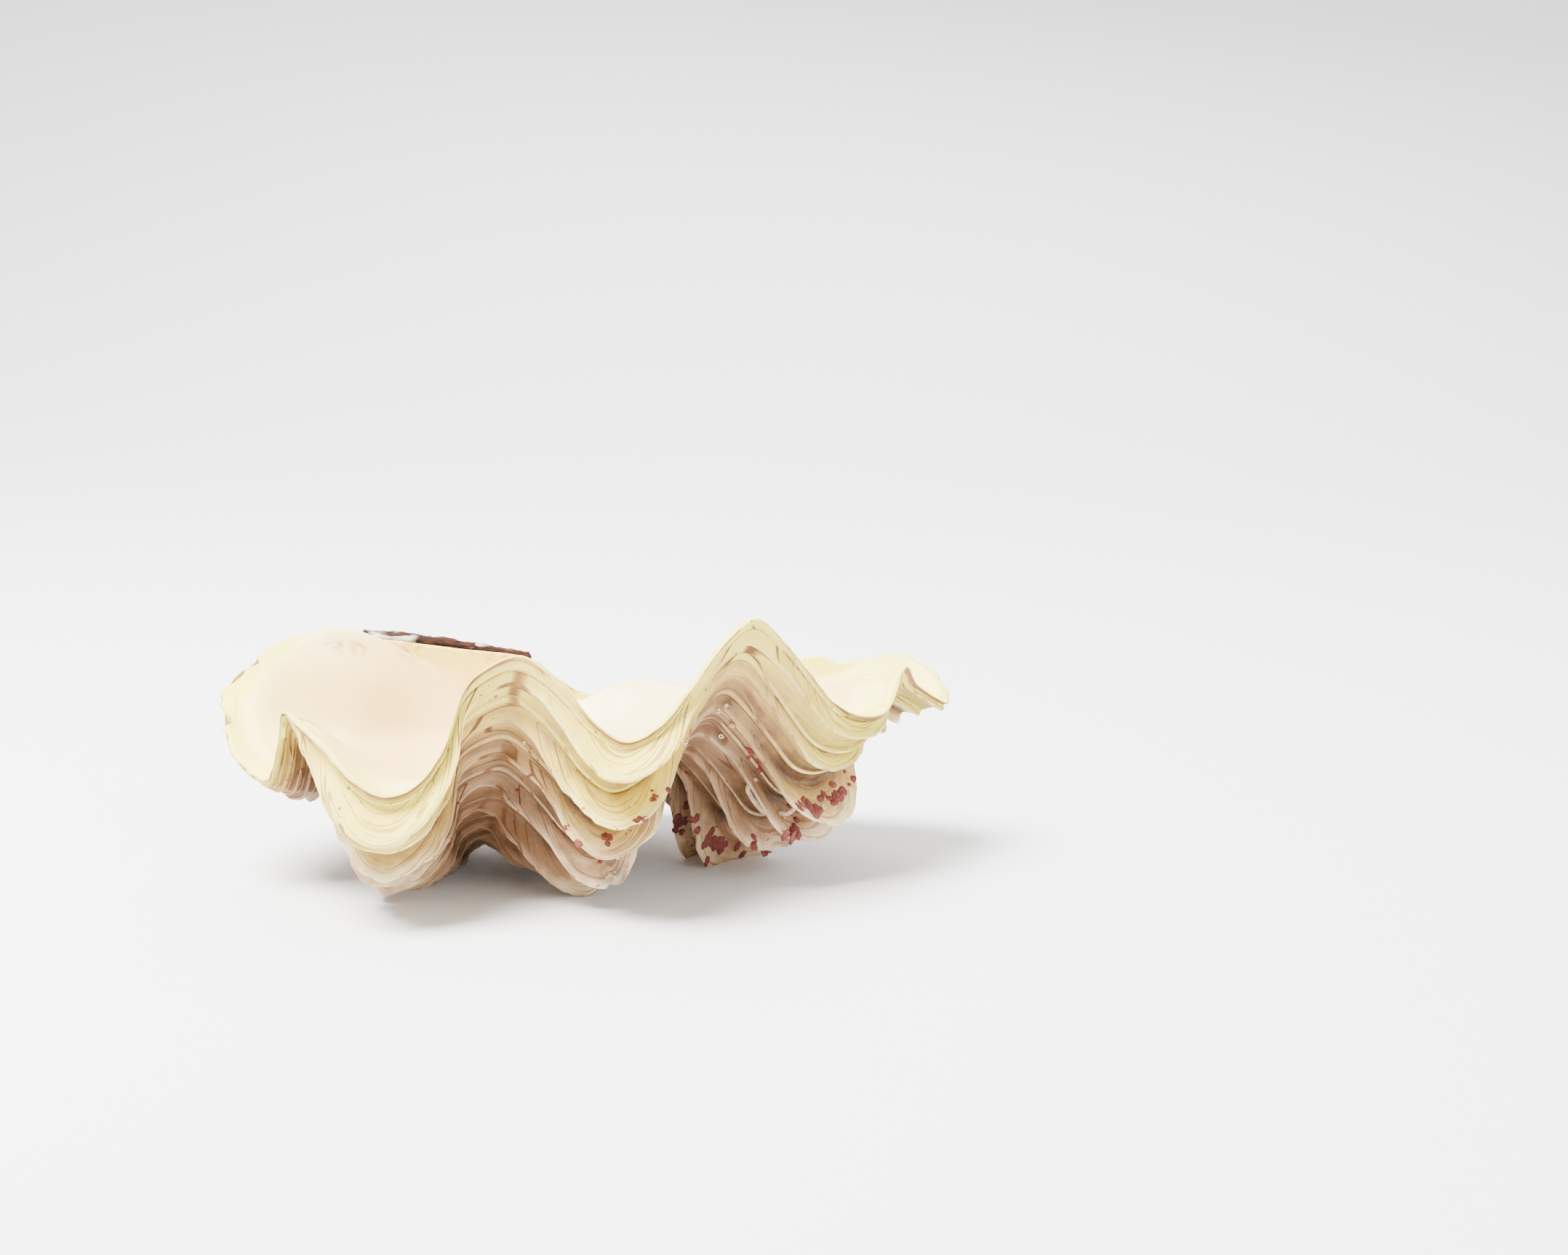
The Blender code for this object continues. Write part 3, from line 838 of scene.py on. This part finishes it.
def inside_colours(n, cloudy):
    """Cream and peach, yellow along the lip, brown stains beside the hinge."""
    tip = n.attribute("tip")
    cream = n.blend(n.ramp(n.noise(16.0, 2.0, 0.4), 0.35, 0.68), (0.97, 0.87, 0.62), (0.98, 0.92, 0.74))
    lip = n.both(n.ramp(tip, 0.0, 0.6), n.ramp(cloudy, 0.3, 0.65, 0.5, 1.0))
    left_rim = n.both(n.ramp(tip, 0.55, 0.8), n.near((-112.0, 15.0, 55.0), 55.0, 0.6))
    colour = n.blend(n.most(lip, left_rim), cream, (0.95, 0.915, 0.47))
    stain = n.most(*[n.near(place, radius, 0.9) for place, radius in HINGE_STAINS])
    stain = n.both(stain, n.ramp(n.noise(260.0, 4.0, 0.65), 0.42, 0.60), 0.75)
    colour = n.blend(stain, colour, (0.72, 0.50, 0.38))
    return n.blend(n.both(n.near((-45.0, 35.0, 50.0), 50.0, 0.8), 0.35), colour, (0.96, 0.80, 0.62))


def shell_group():
    group, n = new_group("shell looks")
    cloudy = n.noise(38.0, 4.0)
    blotchy = n.noise(120.0, 4.0, 0.6)
    grainy = n.noise(900.0, 3.0, 0.65)
    around, along = n.attribute("around"), n.attribute("along")
    hollow = n.attribute("hollow")
    outside = n.math("SUBTRACT", 1.0, hollow, clamp=True)

    # soft growth lines, and a few sharp dark ones that show most on the flanks
    lines = n.noise(1.1, 2.0, 0.6, n.xyz(along, n.math("MULTIPLY", around, 0.035)))
    contour_place = n.xyz(n.math("MULTIPLY", along, 0.5), n.math("MULTIPLY", around, 0.02), 9.0)
    contour = n.math("SUBTRACT", n.noise(1.0, 1.5, 0.5, contour_place), 0.5)
    contour = n.ramp(n.math("ABSOLUTE", contour), 0.004, 0.03, 1.0, 0.0)
    contour = n.both(contour, n.ramp(n.attribute("arch"), 0.0, 0.8, 0.85, 0.35))
    contour = n.both(contour, outside, n.ramp(cloudy, 0.35, 0.6, 0.3, 1.0))

    colour = n.blend(
        hollow,
        n.deeper(outside_colours(n, outside, lines, contour, blotchy, cloudy, grainy), OUTSIDE_DEPTH),
        n.deeper(inside_colours(n, cloudy), INSIDE_DEPTH),
    )
    rough = n.ramp(hollow, 0.0, 1.0, 0.62, 0.34)
    rough = n.math("ADD", rough, n.both(n.math("SUBTRACT", blotchy, 0.5), 0.15))
    height = n.both(lines, outside, 0.00045)
    height = n.math("ADD", height, n.both(grainy, outside, 0.00018))
    height = n.math("ADD", height, n.both(blotchy, outside, 0.0005))
    height = n.math("SUBTRACT", height, n.both(contour, 0.0004))
    return finish_group(group, n, colour, rough, height)


shell_paint = new_material("shell", shell_group(), Specular_IOR_Level=0.3)
mesh.materials.append(shell_paint)


# %% [markdown]
# ## The ligament
# The horny ligament has dried to a dark split strip behind the hinge, with chalk in its cracks.

# %% Ligament
LIGAMENT_FROM = np.array([-78.5, 60.4, 64.0])
LIGAMENT_TO = np.array([-24.5, 62.2, 56.9])
# in mm: how far behind the hinge its middle lies, its half width, its underside above the hinge
# line, its top at the left end, and how much lower the top is at the right end
LIGAMENT_BEHIND, LIGAMENT_HALF_WIDTH = 3.95, 3.55
LIGAMENT_UNDERSIDE, LIGAMENT_TOP, LIGAMENT_FALL = 0.75, 5.4, 1.3


def rounded(value):
    """A sine or cosine drawn towards plus or minus 1, for a section with blunt corners."""
    return math.copysign(abs(value) ** 0.7, value)


def make_ligament(stations=90, sides=40):
    hinge = unit(LIGAMENT_TO - LIGAMENT_FROM)
    found = []
    for k in range(stations):
        t = (k + 0.5) / stations
        at = LIGAMENT_FROM + t * (LIGAMENT_TO - LIGAMENT_FROM)
        back = BEAK - at
        back = unit(back - (back @ hinge) * hinge)
        up = np.cross(hinge, back)
        full = math.sin(math.pi * min(max(t, 0.03), 0.97)) ** 0.35
        top = LIGAMENT_TOP - LIGAMENT_FALL * t + 0.5 * float(roughness(k * 1.0, 310, 9.0))
        middle = at + back * LIGAMENT_BEHIND + up * (LIGAMENT_UNDERSIDE + top) / 2
        ring = []
        for side in range(sides):
            angle = 2 * math.pi * side / sides
            wide = LIGAMENT_HALF_WIDTH * full * (1 + 0.05 * float(roughness(k + side * 7.3, 301, 3.0)))
            thick = (top - LIGAMENT_UNDERSIDE) / 2 * (0.55 + 0.45 * full)
            if math.sin(angle) > 0.2:
                thick += 0.35 * float(roughness(k * 0.9, 303 + side % 5, 2.0))
            across, lift = wide * rounded(math.cos(angle)), thick * rounded(math.sin(angle))
            ring.append(middle + across * back + lift * up)
        found.append(np.array(ring))
    first_pole = found[0].mean(axis=0) - 1.2 * hinge
    last_pole = found[-1].mean(axis=0) + 1.2 * hinge
    return skin("ligament_skin", found, first_pole, last_pole, clamp=False)[0]


def ligament_group():
    group, n = new_group("ligament looks")
    stretch = n.add("ShaderNodeMapping")
    n.join(n.object_place(), stretch.inputs["Vector"])
    stretch.inputs["Scale"].default_value = (0.3, 1.0, 1.0)
    fibre = n.noise(700.0, 3.0, 0.6, stretch.outputs[0])
    cloudy = n.noise(190.0, 3.0, 0.55, stretch.outputs[0])
    colour = n.blend(n.ramp(fibre, 0.35, 0.65), (0.014, 0.005, 0.003), (0.055, 0.018, 0.010))
    colour = n.blend(n.ramp(cloudy, 0.60, 0.72), colour, (0.22, 0.10, 0.055))
    chalk = n.both(n.near((-66.5, 58.0, 66.0), 9.0, 0.35), n.ramp(cloudy, 0.42, 0.50))
    less = n.both(n.near((-46.0, 58.0, 63.0), 12.0, 0.5), n.ramp(cloudy, 0.54, 0.60))
    colour = n.blend(n.most(chalk, less), colour, (0.66, 0.60, 0.53))
    return finish_group(group, n, colour, n.ramp(fibre, 0.3, 0.7, 0.7, 0.9), n.both(fibre, 0.0008))


ligament_mesh = make_ligament()
ligament = link("ligament_skin", ligament_mesh)
ligament_mesh.materials.append(new_material("ligament", ligament_group(), Specular_IOR_Level=0.15))
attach(ligament, "root")
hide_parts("ligament")


# %% [markdown]
# ## Crusts and worm tubes
# Small red crusts sit in groups on the faces of the older flutes of ribs 2 and 3. Tiny white worm
# tubes lie between them, and one larger tube curls under a flute of rib 3. They are laid on the
# fine skin where it faces the front, and the larger tube on the nearest spots of the skin.

# %% Red crusts
CRUSTS = (
    # x, y, z of a group in mm, its radius, how many, and the size of each
    (-3.0, -50.3, 25.9, 1.5, 3, 0.9),
    (1.0, -52.3, 21.7, 0.6, 2, 1.2),
    (9.1, -49.9, 21.3, 2.6, 6, 1.2),
    (18.6, -61.3, 30.5, 2.0, 4, 0.9),
    (23.9, -56.4, 36.6, 1.8, 4, 0.8),
    (26.9, -55.7, 38.5, 1.0, 2, 0.8),
    (31.5, -9.6, 32.8, 0.5, 1, 1.1),
    (50.0, -22.5, 41.8, 2.2, 6, 1.3),
    (53.2, -20.0, 36.5, 1.8, 4, 1.1),
    (64.9, -26.1, 27.4, 3.0, 9, 1.5),
    (69.5, -22.5, 25.4, 3.4, 13, 1.9),
    (75.8, -10.7, 26.0, 2.8, 9, 1.4),
    (62.8, -16.0, 15.8, 3.0, 7, 2.2),
    (38.7, 1.4, 7.4, 3.2, 10, 1.8),
    (30.0, -2.0, 15.7, 4.0, 11, 1.7),
    (50.0, -2.0, 5.0, 4.5, 9, 1.8),
    (7.3, -54.8, 16.9, 1.0, 2, 0.6),
    (-18.1, -33.5, 33.0, 0.6, 2, 0.7),
    (-13.8, -43.2, 39.5, 0.8, 2, 0.6),
    (81.4, -1.5, 29.4, 2.0, 4, 1.0),
)
CRUST_FLATNESS = 0.2
# in mm from the origin: crusts and small tubes are laid on what faces this place
FRONT = (60.0, -831.0, 216.0)
# a spot that is farther than this from its place in the list isn't used
FARTHEST = 22
near_skin = BVHTree.FromPolygons([v.co for v in mesh.vertices], [tuple(p.vertices) for p in mesh.polygons])
chance = np.random.default_rng(77)


def on_skin(place, from_front=True):
    """The spot of the skin in front of a place in mm, or nearest to it, and the skin's normal there."""
    place = Vector(place) * MM
    found = near_skin.find_nearest(place)
    if from_front:
        start = Vector(FRONT) * MM
        ahead = near_skin.ray_cast(start, (place - start).normalized())
        if ahead[0] is not None and (ahead[0] - place).length < FARTHEST * MM:
            found = ahead
    return found[0], found[1]


def add_crust(bm, place, radius):
    """One flat bumpy blob that lies on the skin."""
    spot, normal = on_skin(place)
    turn = normal.to_track_quat("Z", "Y").to_matrix().to_4x4()
    spin = Matrix.Rotation(chance.uniform(0, 2 * math.pi), 4, "Z")
    wide = radius * MM * chance.uniform(0.7, 1.3)
    deep = radius * MM * chance.uniform(0.6, 1.1)
    shape = Matrix.Diagonal((wide, deep, radius * MM * CRUST_FLATNESS, 1.0))
    made = bmesh.ops.create_icosphere(bm, subdivisions=2, radius=1.0)["verts"]
    for vert in made:
        bump = 1 + 0.16 * math.sin(7 * vert.co.x + 5 * vert.co.y + place[0]) + chance.uniform(-0.06, 0.06)
        vert.co = Matrix.Translation(spot) @ turn @ spin @ shape @ (vert.co * bump)
        vert.co.z = max(vert.co.z, 0.0)


bm = bmesh.new()
for x, y, z, spread, count, radius in CRUSTS:
    for k in range(count):
        away = chance.normal(0, 0.6, 3) * spread if k else np.zeros(3)
        add_crust(bm, (x + away[0], y + away[1], z + away[2]), radius * chance.uniform(0.6, 1.35))
crust_mesh = bpy.data.meshes.new("red_crusts")
bm.to_mesh(crust_mesh)
bm.free()
crust_mesh.shade_smooth()
crusts = link("red_crusts", crust_mesh)


def grainy_group(name, grain_scale, dark, light, least_rough, most_rough, relief):
    group, n = new_group(name)
    grain = n.noise(grain_scale, 3.0, 0.6)
    colour = n.blend(n.ramp(grain, 0.35, 0.65), dark, light)
    rough = n.ramp(grain, 0.3, 0.7, least_rough, most_rough)
    return finish_group(group, n, colour, rough, n.both(grain, relief))


crust_looks = grainy_group(
    "crust looks", 900.0, (0.11, 0.014, 0.010), (0.24, 0.05, 0.035), 0.6, 0.85, 0.0006
)
crust_mesh.materials.append(new_material("red crust", crust_looks))
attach(crusts, "root")
print("red crusts:", len(crust_mesh.polygons), "faces")


# %% Worm tubes
CURLED_TUBE = (
    # a curling path, in mm, that is then laid on the skin
    (50.5, -16.0, 34.5),
    (50.0, -15.0, 30.5),
    (51.0, -14.5, 26.5),
    (54.0, -15.0, 23.5),
    (57.5, -15.0, 21.8),
    (61.0, -15.5, 21.5),
    (63.5, -16.0, 23.0),
)
SMALL_TUBES = (
    (40.7, -28.9, 56.0),
    (43.2, -29.6, 57.9),
    (44.8, -26.2, 51.2),
    (41.6, -24.4, 47.6),
    (31.8, -47.2, 50.3),
    (16.8, -56.6, 34.1),
    (12.3, -53.8, 18.1),
    (14.1, -41.7, 11.8),
    (9.5, -42.1, 9.7),
    (7.0, -50.5, 20.9),
    (-3.3, -57.7, 56.6),
    (-15.0, -42.0, 49.2),
    (20.3, -47.3, 28.1),
    (60.0, -14.8, 20.3),
    (72.0, -21.0, 25.0),
)


# in mm: each tube's radius, and how far its middle line lies above the skin
CURLED_RADIUS, CURLED_LIFT = 0.85, 1.3
SMALL_RADIUS, SMALL_LIFT = 0.26, 0.28


def add_tube(bm, path, radius):
    """A closed round tube along a path of points in metres, narrower at its two ends."""
    sides, count = 10, len(path)
    made = bmesh.ops.create_uvsphere(bm, u_segments=sides, v_segments=count + 1, radius=1.0)["verts"]
    for vert in made:
        down = math.acos(max(-1.0, min(1.0, vert.co.z))) / math.pi * (count + 1)
        ring = min(max(round(down) - 1, 0), count - 1)
        pole = round(down) == 0 or round(down) == count + 1
        before, after = path[max(ring - 1, 0)], path[min(ring + 1, count - 1)]
        forward = (after - before).normalized()
        steep = abs(forward.z) > 0.95
        aside = forward.orthogonal() if steep else forward.cross(Vector((0, 0, 1)))
        aside = aside.normalized()
        other = forward.cross(aside)
        around = math.atan2(vert.co.y, vert.co.x)
        wide = 0.0 if pole else radius * (0.75 + 0.25 * math.sin(math.pi * (ring + 0.5) / count) ** 0.5)
        vert.co = path[ring] + wide * (math.cos(around) * aside + math.sin(around) * other)


def smooth_path(points, steps):
    """Points along a smooth curve through the given ones."""
    found = []
    for i in range(len(points) - 1):
        p = [Vector(points[min(max(i + k, 0), len(points) - 1)]) for k in (-1, 0, 1, 2)]
        for k in range(steps):
            t = k / steps
            found.append(
                0.5 * (2 * p[1] + (p[2] - p[0]) * t + (2 * p[0] - 5 * p[1] + 4 * p[2] - p[3]) * t * t
                       + (3 * p[1] - p[0] - 3 * p[2] + p[3]) * t**3)
            )
    return found + [Vector(points[-1])]


bm = bmesh.new()
laid = []
for place in smooth_path(CURLED_TUBE, 8):
    spot, normal = on_skin(place, from_front=False)
    laid.append(spot + normal * CURLED_LIFT * MM)
for _ in range(24):
    laid = [laid[0]] + [(a + 2 * b + c) / 4 for a, b, c in zip(laid, laid[1:], laid[2:])] + [laid[-1]]
add_tube(bm, laid, CURLED_RADIUS * MM)
for place in SMALL_TUBES:
    spot, normal = on_skin(place)
    aside = normal.orthogonal().normalized()
    other = normal.cross(aside)
    wide = chance.uniform(0.45, 0.8) * MM
    start, turns = chance.uniform(0, 6.3), chance.uniform(0.9, 1.5)
    path = []
    for k in range(16):
        angle = start + turns * 2 * math.pi * k / 15
        out = wide * (0.55 + 0.45 * k / 15)
        curl = math.cos(angle) * aside + math.sin(angle) * other
        path.append(spot + normal * SMALL_LIFT * MM + out * curl)
    add_tube(bm, path, SMALL_RADIUS * MM)
tube_mesh = bpy.data.meshes.new("worm_tubes")
bm.to_mesh(tube_mesh)
bm.free()
tube_mesh.shade_smooth()
tubes = link("worm_tubes", tube_mesh)


tube_looks = grainy_group(
    "tube looks", 600.0, (0.46, 0.33, 0.20), (0.70, 0.56, 0.40), 0.55, 0.75, 0.0004
)
tube_mesh.materials.append(new_material("worm tube", tube_looks))
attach(tubes, "root")
print("worm tubes:", len(tube_mesh.polygons), "faces")


# %% Sizes and finish
size_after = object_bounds()
sizes = {"before": size_before, "after": size_after}
sizes = {when: [list(map(float, corner)) for corner in box] for when, box in sizes.items()}
print("bounds before", [list(c) for c in size_before])
print("bounds after", [list(c) for c in size_after])
